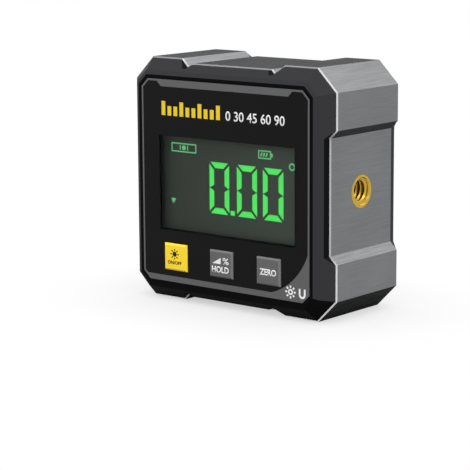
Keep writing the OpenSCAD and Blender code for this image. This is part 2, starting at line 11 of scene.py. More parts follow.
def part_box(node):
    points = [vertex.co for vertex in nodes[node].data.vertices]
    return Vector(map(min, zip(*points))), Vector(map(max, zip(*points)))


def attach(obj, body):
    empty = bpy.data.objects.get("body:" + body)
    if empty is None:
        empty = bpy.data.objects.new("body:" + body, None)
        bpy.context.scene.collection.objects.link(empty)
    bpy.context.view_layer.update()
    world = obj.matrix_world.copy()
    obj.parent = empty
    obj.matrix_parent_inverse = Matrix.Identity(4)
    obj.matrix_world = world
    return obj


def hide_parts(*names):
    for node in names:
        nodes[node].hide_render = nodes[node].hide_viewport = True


bl_info = {
    "name": "Digital angle gauge",
    "version": (1, 0, 0),
    "blender": (4, 5, 0),
    "location": "3D View > Sidebar > Gauge",
    "description": "Dresses the packed angle gauge and sets up its studio",
    "category": "Object",
}

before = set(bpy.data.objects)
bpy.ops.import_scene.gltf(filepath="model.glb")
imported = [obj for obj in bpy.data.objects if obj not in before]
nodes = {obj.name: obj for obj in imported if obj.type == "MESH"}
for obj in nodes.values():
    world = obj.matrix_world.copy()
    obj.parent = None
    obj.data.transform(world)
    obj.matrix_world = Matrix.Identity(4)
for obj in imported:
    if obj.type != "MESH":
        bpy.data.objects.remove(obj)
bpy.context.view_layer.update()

# Planes that carry print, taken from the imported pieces, in metres
MM = 0.001
panel_low, panel_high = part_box("front_panel")
PANEL_Y = panel_low.y
MID_Z = (panel_low.z + panel_high.z) / 2
PANEL_HALF_W = panel_high.x / MM
PANEL_HALF_H = (panel_high.z - MID_Z) / MM
KEY_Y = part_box("power_button")[0].y
GLASS_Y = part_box("lcd_cell")[0].y
INSERT_LOW, INSERT_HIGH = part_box("thread_insert")

# Places of print and marks, in mm from the middle of the face, x to the right and z up.
# A box is its left, right, foot and top.
CORNER_FIELD_MIDDLE = (9.66, -7.54)
TICK_COUNT, TICKS_LEFT = 10, -19.4
SCALE_FOOT = 16.25
NUMBERS_LEFT, NUMBERS_RIGHT = 0.8, 18.6
LAMP_SIGN = (20.3, -22.75)
MAGNET_BOX = (22.75, 24.75, -23.0, -21.65)
DIGIT_MIDDLES = (-2.98, 5.57, 13.51)
DECIMAL_BOX = (0.47, 1.8, -6.85, -5.75)
DEGREE_MARK = (19.15, 6.5)
POINTER = [(-18.45, -4.4), (-17.7, -5.75), (-16.87, -4.4)]
BATTERY_BOX = (9.05, 12.9, 7.72, 9.75)
BATTERY_TIP = (12.95, 13.4, 8.3, 9.15)
CHARGE_LEFTS, CHARGE_HEIGHTS = (9.65, 10.43, 11.21), (8.3, 9.2)
VIAL_BOX = (-18.15, -10.2, 7.2, 9.45)
VIAL_BUBBLE = (-14.17, 8.32)
VIAL_LINES, VIAL_HEIGHTS = (-15.5, -13.14), (7.75, 8.9)
SUN_MARK = (-15.3, -17.85)
ON_OFF_BOX = (-17.5, -13.1, -20.42, -19.55)
SLOPE_MARK = [(-3.2, -18.55), (-0.6, -18.55), (-0.6, -17.05)]
PER_CENT_BOX = (0.0, 1.9, -18.6, -16.95)
HOLD_BOX = (-3.35, 1.9, -20.75, -19.15)
ZERO_BOX = (11.4, 16.4, -19.6, -18.0)

# Sizes of the small marks, in mm; rays have a start and an end from their centre
LAMP_RADIUS, LAMP_RAYS = 0.72, (0.98, 1.55)
SUN_RADIUS, SUN_RAYS, SUN_RAY_WIDTH = 0.64, (0.84, 1.34), 0.28
RAY_COUNT = 8
MAGNET_LEG = 0.5
DEGREE_RADIUS, BUBBLE_RADIUS = 0.92, 0.62
CHARGE_WIDTH, CHARGE_LEAN = 0.45, 0.3
# Side segments of a digit come to a tip near its middle
TIP_STEP, TIP_REACH = 0.3, 0.75
# Shares of the gap at a tip, and of the line in the two rings
TIP_GAP, LAMP_LINE, DEGREE_LINE = 0.6, 0.9, 1.2
# How far lettering is thickened, in shares of its size
LIGHT, MEDIUM, BOLD = 0.01, 0.015, 0.03

# Points closer than this are one, in metres
WELD = 0.001 * MM
FILM_WELD = 0.0005 * MM

# Studio, in metres and, for the sensor, in mm; the shadow keeps this share of white at its deepest
LAMP_TARGET = Vector((0, 0, 0.03))
FLOOR_HALF = 4.0
SHADOW_REACH, SHADOW_WHITE = 0.03, 0.55
SENSOR_WIDTH = 36.0


def linear(code):
    """An sRGB hex colour as linear RGBA."""
    parts = [int(code[i : i + 2], 16) / 255 for i in (1, 3, 5)]
    return [c / 12.92 if c <= 0.04045 else ((c + 0.055) / 1.055) ** 2.4 for c in parts] + [1.0]


def colour(name, description, code):
    """A colour property whose default is an sRGB hex value."""
    return FloatVectorProperty(
        name=name, description=description, subtype="COLOR", size=4, min=0, max=1, default=linear(code)
    )


def length(name, description, millimetres):
    """A length property, given in millimetres and kept in metres."""
    return FloatProperty(
        name=name, description=description, subtype="DISTANCE", unit="LENGTH", precision=5,
        default=millimetres * MM,
    )


def angle(name, description, radians):
    """An angle property."""
    return FloatProperty(name=name, description=description, subtype="ANGLE", default=radians)


def lamp_power(name, description, watts):
    """A lamp's power property."""
    return FloatProperty(name=name, description=description, unit="POWER", default=watts)


class GaugeColours(bpy.types.PropertyGroup):
    """Colours of the finishes, the print and the lit display."""

    frame_metal: colour("Frame metal", "Grey anodised aluminium of the frame", "#828384")
    rim_metal: colour("Rims", "Bright cut edges of the frame", "#d2d2d2")
    moulding_black: colour("Black moulding", "ABS of the bezel", "#0b0b0c")
    back_black: colour("Back moulding", "ABS of the rear cover and the battery door", "#1a1a1b")
    panel_black: colour("Panel", "Ground of the printed front panel", "#0a0a0b")
    print_grey: colour("Grey print", "Border, bars and corner field of the panel", "#5a5a5b")
    print_white: colour("White print", "Numbers, signs and key marks", "#eaeaea")
    print_yellow: colour("Yellow print", "Graduation over the display", "#e2c41f")
    print_dark: colour("Dark print", "Marks on the yellow key", "#171102")
    key_yellow: colour("Yellow key", "Moulding of the power key", "#f5d128")
    key_grey: colour("Grey keys", "Moulding of the other keys", "#5d5d5e")
    brass: colour("Brass", "Threaded insert in the side", "#c5a242")
    display_ground: colour("Display ground", "Dark glass of the display", "#2a302a")
    segment_lit: colour("Lit segments", "Digits of the display", "#43f25a")
    mark_lit: colour("Lit marks", "Small marks of the display", "#6ad486")


class GaugePrint(bpy.types.PropertyGroup):
    """Sizes of the print on the panel and keys."""

    film: length("Print film", "Thickness of the printed film", 0.02)
    border: length("Border", "Width of the line round the panel", 0.47)
    border_inset: length("Border inset", "Panel outside the border line", 0.07)
    corner_cut: length("Corner cut", "Flat across the panel's corners", 2.05)
    top_bar: length("Top bar", "Height of the bar under the upper border", 1.26)
    top_bar_side: length("Top bar side", "Border left free beside the top bar", 4.5)
    foot_band: length("Foot band", "Height of the band over the lower border", 0.96)
    corner_radius: length("Corner radius", "Radius of the corner field's hollow edge", 16.77)
    window_border: length("Window border", "Black edge printed on the window", 0.6)
    # The left edge is wider: a dark band painted where the opening's left wall is in shade
    window_left: length("Window left border", "Black edge at the left, over the display's dead strip", 1.8)
    window_lap: length("Window lap", "Black edge beyond the window", 0.1)
    tick_pitch: length("Tick pitch", "Distance between the yellow ticks", 1.92)
    tick_width: length("Tick width", "Width of a yellow tick", 1.2)
    tick_long: length("Long tick", "Height of every third tick", 3.45)
    tick_short: length("Short tick", "Height of the other ticks", 2.3)
    number_height: length("Number height", "Height of the white numbers", 2.35)
    sign_line: length("Sign line", "Line width of the small signs", 0.42)


class GaugeDisplay(bpy.types.PropertyGroup):
    """Sizes of the lit display."""

    digit_width: length("Digit width", "Width of a digit", 6.15)
    digit_top: length("Digit top", "Top of the digits over the middle of the face", 5.65)
    digit_foot: length("Digit foot", "Foot of the digits under the middle of the face", 6.9)
    stroke: length("Stroke", "Width of a digit's segments", 1.43)
    slip: length("Corner slip", "Sides of a digit beyond the ends of its upper and lower segments", 0.37)
    gap: length("Segment gap", "Gap between two segments", 0.16)
    mark_line: length("Mark line", "Line width of the small marks", 0.3)
    light_reach: length("Light reach", "Half the width that the back light spreads over", 22.0)
    # Left of this the display ground is painted darker: painted shade of the opening's left wall
    left_shade_edge: length("Field left", "Left end of the lit field from the middle of the face", 20.9)
    left_shade_blend: length("Field edge", "Width over which the lit field begins", 0.6)
    foot_fade: length("Foot fade", "Height over which the lit field fades to its foot", 2.4)


class GaugeInsert(bpy.types.PropertyGroup):
    """Sizes of the threaded insert, for a quarter-inch tripod screw."""

    outer: length("Outer radius", "Radius of the part that shows in the side", 4.0)
    collar: length("Collar", "Thickness of the collar behind the wall", 1.4)
    crest: length("Crest radius", "Radius over the thread's crests", 2.55)
    root: length("Root radius", "Radius to the thread's roots", 3.1)
    mouth: length("Mouth radius", "Radius of the countersink at the face", 3.4)
    inner_land: length("Inner land", "Flat ring beyond the roots at the inner end", 0.3)
    sink_land: length("Sink land", "Flat ring beyond the roots under the countersink", 0.1)
    pitch: length("Pitch", "Advance of the thread in one turn, 20 turns an inch", 1.27)


class GaugeStudio(bpy.types.PropertyGroup):
    """Camera and light."""

    lens: FloatProperty(name="Lens", description="Focal length on a 36 mm sensor, in mm", default=147.84)
    azimuth: angle("Azimuth", "Camera round from the front", 0.6872194)
    elevation: angle("Elevation", "Camera over the level", 0.1813935)
    roll: angle("Roll", "Turn of the camera on its axis", -0.0059313)
    camera_place: FloatVectorProperty(
        name="Camera place", description="Where the camera stands", subtype="XYZ", unit="LENGTH",
        default=(0.29165, -0.36659, 0.10228),
    )
    key_power: lamp_power("Key lamp", "Power of the lamp at the right, in watts", 3.2)
    top_power: lamp_power("Top lamp", "Power of the lamp behind and above, in watts", 2.2)
    fill_power: lamp_power("Fill lamp", "Power of the lamp at the left front, in watts", 3.4)
    sky: FloatProperty(
        name="Sky", description="Strength of the even light all round, white at 1", min=0.0, default=1.0
    )


# Nodes and materials


def add_node(material, kind, inputs=None, **settings):
    """Adds a node, sets its options, and gives each input a value or a link."""
    tree = material.node_tree
    node = tree.nodes.new(kind)
    for name, value in settings.items():
        setattr(node, name, value)
    for name, value in (inputs or {}).items():
        if isinstance(value, bpy.types.NodeSocket):
            tree.links.new(value, node.inputs[name])
        else:
            node.inputs[name].default_value = value
    return node


def new_material(name):
    """An empty material, and its node for Object coordinates in metres."""
    material = bpy.data.materials.new(name)
    material.use_nodes = True
    material.node_tree.nodes.clear()
    return material, add_node(material, "ShaderNodeTexCoord")


def shade(rgba, factor):
    """A colour made lighter or darker."""
    return [min(1.0, c * factor) for c in rgba[:3]] + [1.0]


def brushed_anodised_aluminium(rgba, bright):
    """The frame: an extrusion, brushed along its length, anodised grey, its rims cut bright."""
    # Brushing leaves fine streaks along the depth, which spread the highlights across them.
    # The anodised skin is a mid grey that dims at a flat angle.
    # Faces underneath are painted a darker grey: painted shade for the light they miss.
    # The cutter leaves both rims bright and a little rounded, so that they catch light from the front.
    # Along the top the rims are painted duller: painted shade where they catch less light.
    material, place = new_material("brushed_grey_anodised_aluminium")
    # Streaks are about 0.05 mm apart on the real frame, drawn at 0.2 mm so that they show
    streaks = add_node(
        material, "ShaderNodeMapping",
        {"Vector": place.outputs["Object"], "Scale": (1 / (0.2 * MM), 1 / (9 * MM), 1 / (0.2 * MM))},
    )
    brush = add_node(
        material, "ShaderNodeTexNoise", {"Vector": streaks.outputs["Vector"], "Scale": 1.0, "Detail": 2.5}
    )
    clouds = add_node(
        material, "ShaderNodeTexNoise",
        {"Vector": place.outputs["Object"], "Scale": 1 / (14 * MM), "Detail": 2.0},
    )
    both = add_node(
        material, "ShaderNodeMath", {0: brush.outputs["Fac"], 1: clouds.outputs["Fac"]}, operation="ADD"
    )
    tone = add_node(
        material, "ShaderNodeMapRange", {"Value": both.outputs["Value"], "From Min": 0.7, "From Max": 1.3}
    )
    skin = add_node(
        material, "ShaderNodeMix", {0: tone.outputs["Result"], 6: shade(rgba, 0.93), 7: shade(rgba, 1.07)},
        data_type="RGBA",
    )
    rough = add_node(
        material, "ShaderNodeMapRange",
        {"Value": brush.outputs["Fac"], "From Min": 0.3, "From Max": 0.7, "To Min": 0.5, "To Max": 0.36},
    )
    normal = add_node(material, "ShaderNodeSeparateXYZ", {"Vector": place.outputs["Normal"]})
    # Painted shade: faces underneath take a darker grey
    under = add_node(
        material, "ShaderNodeMapRange", {"Value": normal.outputs["Z"], "From Min": -0.3, "From Max": -0.6}
    )
    sides = add_node(
        material, "ShaderNodeMix", {0: under.outputs["Result"], 6: skin.outputs[2], 7: shade(rgba, 0.5)},
        data_type="RGBA",
    )
    # The rims are the only faces that lie about halfway between front or back and the sides
    across = add_node(material, "ShaderNodeMath", {0: normal.outputs["Y"]}, operation="ABSOLUTE")
    rim = add_node(
        material, "ShaderNodeMath", {0: across.outputs["Value"], 1: 0.7, 2: 0.25}, operation="COMPARE"
    )
    # Painted shade: rims along the top are painted duller
    top = add_node(
        material, "ShaderNodeMapRange", {"Value": normal.outputs["Z"], "From Min": 0.55, "From Max": 0.68}
    )
    cut = add_node(
        material, "ShaderNodeMix", {0: top.outputs["Result"], 6: list(bright), 7: shade(bright, 0.4)},
        data_type="RGBA",
    )
    metal = add_node(
        material, "ShaderNodeMix", {0: rim.outputs["Value"], 6: sides.outputs[2], 7: cut.outputs[2]},
        data_type="RGBA",
    )
    polish = add_node(
        material, "ShaderNodeMix", {0: rim.outputs["Value"], 2: rough.outputs["Result"], 3: 0.55}
    )
    # A rim is shaded as rounded: it leans further to the front or back, and a little up where it lies low
    rounded = add_node(
        material, "ShaderNodeVectorMath",
        {0: place.outputs["Normal"], 1: (1.0, 2.3, 1.0)}, operation="MULTIPLY",
    )
    raised = add_node(
        material, "ShaderNodeVectorMath",
        {0: rounded.outputs["Vector"], 1: (-3.0, -3.0, 0.35)}, operation="MAXIMUM",
    )
    bent = add_node(
        material, "ShaderNodeMix",
        {0: rim.outputs["Value"], 4: place.outputs["Normal"], 5: raised.outputs["Vector"]},
        data_type="VECTOR",
    )
    facing = add_node(
        material, "ShaderNodeVectorTransform", {"Vector": bent.outputs[1]},
        vector_type="NORMAL", convert_from="OBJECT", convert_to="WORLD",
    )
    bump = add_node(
        material, "ShaderNodeBump",
        {
            "Height": brush.outputs["Fac"], "Strength": 0.09, "Distance": 0.02 * MM,
            "Normal": facing.outputs["Vector"],
        },
    )
    surface = add_node(
        material, "ShaderNodeBsdfPrincipled",
        {
            "Base Color": metal.outputs[2], "Roughness": polish.outputs[0], "Normal": bump.outputs["Normal"],
            "Metallic": 1.0, "Specular Tint": linear("#585858"),
        },
    )
    add_node(material, "ShaderNodeOutputMaterial", {"Surface": surface.outputs["BSDF"]})
    return material


def moulded_plastic(name, rgba, grit_mm, roughness, gloss=0.3, slope_sheen=1.0):
    """ABS or a like plastic out of an eroded mould: an even colour under a fine, soft grain."""
    # The grain breaks up the gloss, so that the facets shade softly with no mirror image.
    # Facets that slope away from front and back can be painted paler: a painted sheen for the light they
    # catch. Faces underneath are left without it.
    material, place = new_material(name)
    grit = add_node(
        material, "ShaderNodeTexNoise",
        {"Vector": place.outputs["Object"], "Scale": 1 / (grit_mm * MM), "Detail": 3.0},
    )
    flow = add_node(
        material, "ShaderNodeTexNoise",
        {"Vector": place.outputs["Object"], "Scale": 1 / (9 * MM), "Detail": 1.0},
    )
    tone = add_node(
        material, "ShaderNodeMix", {0: flow.outputs["Fac"], 6: shade(rgba, 0.92), 7: shade(rgba, 1.08)},
        data_type="RGBA",
    )
    normal = add_node(material, "ShaderNodeSeparateXYZ", {"Vector": place.outputs["Normal"]})
    across = add_node(material, "ShaderNodeMath", {0: normal.outputs["Y"]}, operation="ABSOLUTE")
    slope = add_node(
        material, "ShaderNodeMath", {0: across.outputs["Value"], 1: 0.65, 2: 0.3}, operation="COMPARE"
    )
    upper = add_node(
        material, "ShaderNodeMapRange", {"Value": normal.outputs["Z"], "From Min": -0.3, "From Max": -0.05}
    )
    # Painted sheen: sloping facets, except those underneath, take the paler tone
    painted_sheen_mask = add_node(
        material, "ShaderNodeMath",
        {0: slope.outputs["Value"], 1: upper.outputs["Result"]}, operation="MULTIPLY",
    )
    painted_sheen = add_node(
        material, "ShaderNodeMix",
        {0: painted_sheen_mask.outputs["Value"], 6: tone.outputs[2], 7: shade(rgba, slope_sheen)}, data_type="RGBA",
    )
    rough = add_node(
        material, "ShaderNodeMapRange",
        {
            "Value": grit.outputs["Fac"], "From Min": 0.3, "From Max": 0.7, "To Min": roughness - 0.06,
            "To Max": roughness + 0.06,
        },
    )
    bump = add_node(
        material, "ShaderNodeBump", {"Height": grit.outputs["Fac"], "Strength": 0.3, "Distance": 0.01 * MM}
    )
    surface = add_node(
        material, "ShaderNodeBsdfPrincipled",
        {
            "Base Color": painted_sheen.outputs[2], "Roughness": rough.outputs["Result"],
            "Normal": bump.outputs["Normal"], "IOR": 1.53, "Specular IOR Level": gloss,
        },
    )
    add_node(material, "ShaderNodeOutputMaterial", {"Surface": surface.outputs["BSDF"]})
    return material


def printed_ink(name, rgba):
    """Screen-printed ink: flat and opaque, with the weave of the screen just felt in it."""
    # Ink dries matt and a little uneven, so large fields aren't dead flat.
    material, place = new_material(name)
    mesh_marks = add_node(
        material, "ShaderNodeTexNoise",
        {"Vector": place.outputs["Object"], "Scale": 1 / (0.5 * MM), "Detail": 2.0},
    )
    tone = add_node(
        material, "ShaderNodeMix", {0: mesh_marks.outputs["Fac"], 6: shade(rgba, 0.93), 7: shade(rgba, 1.07)},
        data_type="RGBA",
    )
    surface = add_node(
        material, "ShaderNodeBsdfPrincipled",
        {"Base Color": tone.outputs[2], "Roughness": 0.5, "IOR": 1.5, "Specular IOR Level": 0.2},
    )
    add_node(material, "ShaderNodeOutputMaterial", {"Surface": surface.outputs["BSDF"]})
    return material


def clear_acrylic(name, rgba, cover):
    """Cast acrylic: clear and smooth, its tint a little uneven."""
    # A smooth face gives clear, weak reflections. The tint covers a small share of what lies behind.
    material, place = new_material(name)
    cast = add_node(
        material, "ShaderNodeTexNoise",
        {"Vector": place.outputs["Object"], "Scale": 1 / (6 * MM), "Detail": 2.0},
    )
    tint = add_node(
        material, "ShaderNodeMix", {0: cast.outputs["Fac"], 6: shade(rgba, 0.94), 7: shade(rgba, 1.06)},
        data_type="RGBA",
    )
    surface = add_node(
        material, "ShaderNodeBsdfPrincipled",
        {"Base Color": tint.outputs[2], "Roughness": 0.02, "IOR": 1.49, "Alpha": cover},
    )
    add_node(material, "ShaderNodeOutputMaterial", {"Surface": surface.outputs["BSDF"]})
    return material


def backlit_display_glass(rgba, sizes):
    """Display glass between polarisers: nearly black, with a little light leaking through it."""
    # The leak is stronger towards the lamp end of the light guide, so the ground isn't even.
    material, place = new_material("polarised_display_glass")
    along = add_node(material, "ShaderNodeSeparateXYZ", {"Vector": place.outputs["Object"]})
    leak = add_node(
        material, "ShaderNodeMapRange",
        {"Value": along.outputs["X"], "From Min": -sizes.light_reach, "From Max": sizes.light_reach},
    )
    lit = add_node(
        material, "ShaderNodeMix", {0: leak.outputs["Result"], 6: shade(rgba, 1.1), 7: shade(rgba, 1.95)},
        data_type="RGBA",
    )
    # The ground is painted darker in a strip at the left, a painted shade of the opening's left wall, and it
    # grows darker towards its foot
    left = add_node(
        material, "ShaderNodeMapRange",
        {
            "Value": along.outputs["X"], "From Min": -sizes.left_shade_edge,
            "From Max": sizes.left_shade_blend - sizes.left_shade_edge,
        },
    )
    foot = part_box("display_window")[0].z
    above = add_node(
        material, "ShaderNodeMapRange",
        {"Value": along.outputs["Z"], "From Min": foot, "From Max": foot + sizes.foot_fade, "To Min": 0.35},
    )
    field = add_node(
        material, "ShaderNodeMath",
        {0: left.outputs["Result"], 1: above.outputs["Result"]}, operation="MULTIPLY",
    )
    ground = add_node(
        material, "ShaderNodeMix", {0: field.outputs["Value"], 6: shade(rgba, 0.5), 7: lit.outputs[2]},
        data_type="RGBA",
    )
    surface = add_node(
        material, "ShaderNodeBsdfPrincipled",
        {
            "Base Color": ground.outputs[2], "Emission Color": ground.outputs[2], "Emission Strength": 0.2,
            "Roughness": 0.3, "IOR": 1.5, "Specular IOR Level": 0.1,
        },
    )
    add_node(material, "ShaderNodeOutputMaterial", {"Surface": surface.outputs["BSDF"]})
    return material


def lit_segment(name, rgba, strength):
    """A display segment that lets the back light through: an even glow of one colour."""
    # The light guide's dots make the glow a little uneven.
    material, place = new_material(name)
    dots = add_node(
        material, "ShaderNodeTexNoise",
        {"Vector": place.outputs["Object"], "Scale": 1 / (2.5 * MM), "Detail": 1.0},
    )
    glow = add_node(
        material, "ShaderNodeMix", {0: dots.outputs["Fac"], 6: shade(rgba, 0.94), 7: shade(rgba, 1.06)},
        data_type="RGBA",
    )
    surface = add_node(
        material, "ShaderNodeBsdfPrincipled",
        {
            "Base Color": linear("#0c1a0e"), "Emission Color": glow.outputs[2], "Emission Strength": strength,
            "Roughness": 0.4,
        },
    )
    add_node(material, "ShaderNodeOutputMaterial", {"Surface": surface.outputs["BSDF"]})
    return material


def worked_metal(name, rgba, mark_mm, rough):
    """Turned, stamped or plated metal: fine tool marks that vary its roughness between two values."""
    # Tool marks give soft bands in the reflections and a slightly uneven tone.
    material, place = new_material(name)
    marks = add_node(
        material, "ShaderNodeTexNoise",
        {"Vector": place.outputs["Object"], "Scale": 1 / (mark_mm * MM), "Detail": 3.0},
    )
    tone = add_node(
        material, "ShaderNodeMix", {0: marks.outputs["Fac"], 6: shade(rgba, 0.88), 7: shade(rgba, 1.1)},
        data_type="RGBA",
    )
    polish = add_node(
        material, "ShaderNodeMapRange",
        {
            "Value": marks.outputs["Fac"], "From Min": 0.3, "From Max": 0.7,
            "To Min": rough[0], "To Max": rough[1],
        },
    )
    bump = add_node(
        material, "ShaderNodeBump", {"Height": marks.outputs["Fac"], "Strength": 0.2, "Distance": 0.02 * MM}
    )
    surface = add_node(
        material, "ShaderNodeBsdfPrincipled",
        {
            "Base Color": tone.outputs[2], "Roughness": polish.outputs["Result"],
            "Normal": bump.outputs["Normal"], "Metallic": 1.0,
        },
    )
    add_node(material, "ShaderNodeOutputMaterial", {"Surface": surface.outputs["BSDF"]})
    return material


def dress(material, *names):
    """Gives CAD pieces their finish."""
    for name in names:
        nodes[name].data.materials.clear()
        nodes[name].data.materials.append(material)


# Drawing thin print on a plane that faces the front; points are in mm from the middle of the face


def at(x, y, z):
    """A point in metres from x and z in mm from the middle of the face."""
    return Vector((x * MM, y, MID_Z + z * MM))


def outline(bm, points, y):
    """One flat face through a few points."""
    face = bm.faces.new([bm.verts.new(at(x, y, z)) for x, z in points])
    face.normal_update()
    return face


def rectangle(bm, x0, x1, z0, z1, y):
    """A flat upright rectangle."""
    return outline(bm, [(x0, z0), (x1, z0), (x1, z1), (x0, z1)], y)


def disc(bm, x, z, radius, y, segments=32):
    """A flat disc."""
    turned = Matrix.Translation(at(x, y, z)) @ Matrix.Rotation(math.pi / 2, 4, "X")
    made = bmesh.ops.create_circle(bm, cap_ends=True, radius=radius * MM, segments=segments, matrix=turned)
    return made["verts"][0].link_faces[0]


def hollow(bm, face, line):
    """Leaves only a line of that width inside a face's edge, in mm."""
    bmesh.ops.inset_region(bm, faces=[face], thickness=line * MM, use_boundary=True, use_even_offset=True)
    bmesh.ops.delete(bm, geom=[face], context="FACES_ONLY")


def rays(bm, x, z, inner, outer, width, count, y):
    """Short bars round a centre, the first one pointing right."""
    first = rectangle(bm, x + inner, x + outer, z - width / 2, z + width / 2, y)
    bmesh.ops.spin(
        bm, geom=[first, *first.edges, *first.verts], cent=at(x, y, z), axis=(0, 1, 0), dvec=(0, 0, 0),
        angle=2 * math.pi * (count - 1) / count, steps=count - 1, use_duplicate=True,
    )


def lettering(bm, text, x0, x1, z0, z1, y, weight):
    """Plain letters or numbers that fill a box, drawn with the built-in face."""
    curve = bpy.data.curves.new("letters", "FONT")
    curve.body = text
    curve.offset = weight
    curve.resolution_u = 6
    carrier = bpy.data.objects.new("letters", curve)
    bpy.context.scene.collection.objects.link(carrier)
    graph = bpy.context.evaluated_depsgraph_get()
    mesh = bpy.data.meshes.new_from_object(carrier.evaluated_get(graph))
    bpy.data.objects.remove(carrier)
    bpy.data.curves.remove(curve)
    low = [min(v.co[i] for v in mesh.vertices) for i in (0, 1)]
    high = [max(v.co[i] for v in mesh.vertices) for i in (0, 1)]
    size = Vector(((x1 - x0) / (high[0] - low[0]), (z1 - z0) / (high[1] - low[1]), 1.0)) * MM
    mesh.transform(
        Matrix.Translation(at(x0, y, z0))
        @ Matrix.Rotation(math.pi / 2, 4, "X")
        @ Matrix.Diagonal((*size, 1.0))
        @ Matrix.Translation((-low[0], -low[1], 0.0))
    )
    bm.from_mesh(mesh)
    bpy.data.meshes.remove(mesh)


def raise_film(bm, film):
    """Gives everything drawn its thickness, towards the front."""
    bmesh.ops.remove_doubles(bm, verts=bm.verts, dist=FILM_WELD)
    made = bmesh.ops.extrude_face_region(bm, geom=list(bm.faces))
    front = [part for part in made["geom"] if isinstance(part, bmesh.types.BMVert)]
    bmesh.ops.translate(bm, verts=front, vec=(0, -film, 0))


def new_piece(name, bm, material, body):
    """Ends a mesh as a piece that rides on a CAD body."""
    bmesh.ops.recalc_face_normals(bm, faces=bm.faces)
    mesh = bpy.data.meshes.new(name)
    bm.to_mesh(mesh)
    bm.free()
    mesh.materials.append(material)
    piece = bpy.data.objects.new(name, mesh)
    bpy.context.scene.collection.objects.link(piece)
    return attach(piece, body)


class GAUGE_OT_dress_metal(bpy.types.Operator):
    """Finishes of the frame, the insert, the magnets, the contacts and the screws"""

    bl_idname = "gauge.dress_metal"
    bl_label = "Dress metal"

    def execute(self, context):
        colours = context.scene.gauge_colours
        dress(brushed_anodised_aluminium(colours.frame_metal, colours.rim_metal), "body_frame")
        magnets = [name for name in nodes if name.startswith("magnet_")]
        contacts = [name for name in nodes if name.startswith("contact_")]
        for finish, rgba, mark_mm, rough, names in (
            ("turned_brass", colours.brass, 0.5, (0.25, 0.42), ["thread_insert"]),
            ("nickel_plated_magnet", linear("#c9c9c6"), 1.5, (0.12, 0.25), magnets),
            ("nickel_plated_spring_steel", linear("#bdbcb5"), 0.8, (0.2, 0.38), contacts),
            ("zinc_plated_steel", linear("#a3a5a8"), 0.7, (0.28, 0.45), ["cover_screws", "board_screws"]),
        ):
            dress(worked_metal(finish, rgba, mark_mm, rough), *names)
        return {"FINISHED"}


class GAUGE_OT_dress_mouldings(bpy.types.Operator):
    """Finishes of the bezel, the cover, the battery door, the panel and the keys"""

    bl_idname = "gauge.dress_mouldings"
    bl_label = "Dress mouldings"

    def execute(self, context):
        colours = context.scene.gauge_colours
        # An eroded mould leaves grit of about 0.05 mm, drawn at 0.3 mm and more so that it shows.
        # The back is held in the hand and came out of a coarser mould, so it looks paler.
        back = ["rear_cover", "battery_door"]
        # The sixth number paints sloping facets paler: a painted sheen, strongest on the bezel
        for finish, rgba, grit_mm, roughness, gloss, slope_sheen, names in (
            ("moulded_black_abs", colours.moulding_black, 0.3, 0.45, 0.015, 10.5, ["front_bezel"]),
            ("coarse_moulded_black_abs", colours.back_black, 0.5, 0.5, 0.2, 3.2, back),
            ("velvet_polycarbonate_panel", colours.panel_black, 0.35, 0.4, 0.08, 1.0, ["front_panel"]),
            ("moulded_yellow_abs", colours.key_yellow, 0.4, 0.45, 0.3, 1.2, ["power_button"]),
            ("moulded_grey_abs", colours.key_grey, 0.4, 0.45, 0.2, 1.6, ["hold_button", "zero_button"]),
        ):
            dress(moulded_plastic(finish, rgba, grit_mm, roughness, gloss, slope_sheen), *names)
        return {"FINISHED"}


class GAUGE_OT_dress_display(bpy.types.Operator):
    """Finishes of the window, the display glass and the light guide"""

    bl_idname = "gauge.dress_display"
    bl_label = "Dress display"

    def execute(self, context):
        ground = context.scene.gauge_colours.display_ground
        dress(clear_acrylic("smoked_cast_acrylic", linear("#0c100d"), cover=0.08), "display_window")
        dress(backlit_display_glass(ground, context.scene.gauge_display), "lcd_cell")
        dress(clear_acrylic("moulded_light_guide_acrylic", linear("#e4f4e6"), cover=0.4), "light_guide")
        return {"FINISHED"}


class GAUGE_OT_dress_inside(bpy.types.Operator):
    """Finishes of the pieces inside: board, chips, switches, plungers, contact strip and cells"""

    bl_idname = "gauge.dress_inside"
    bl_label = "Dress inside"

    def execute(self, context):
        switches = [name for name in nodes if name.endswith("_switch")]
        plungers = [name for name in nodes if name.endswith("_plunger")]
        for finish, code, grit_mm, roughness, names in (
            ("solder_masked_laminate", "#1c6b38", 0.8, 0.35, ["main_board"]),
            ("moulded_epoxy", "#1a1a1b", 0.2, 0.55, ["controller_chip", "tilt_sensor", *switches]),
            ("moulded_red_nylon", "#a32c2c", 0.4, 0.45, plungers),
            ("contact_strip_rubber", "#c98787", 0.3, 0.7, ["connector_strip"]),
            ("printed_cell_film", "#2f5f96", 1.2, 0.3, ["cell_upper", "cell_lower"]),
        ):
            dress(moulded_plastic(finish, linear(code), grit_mm, roughness), *names)
        return {"FINISHED"}


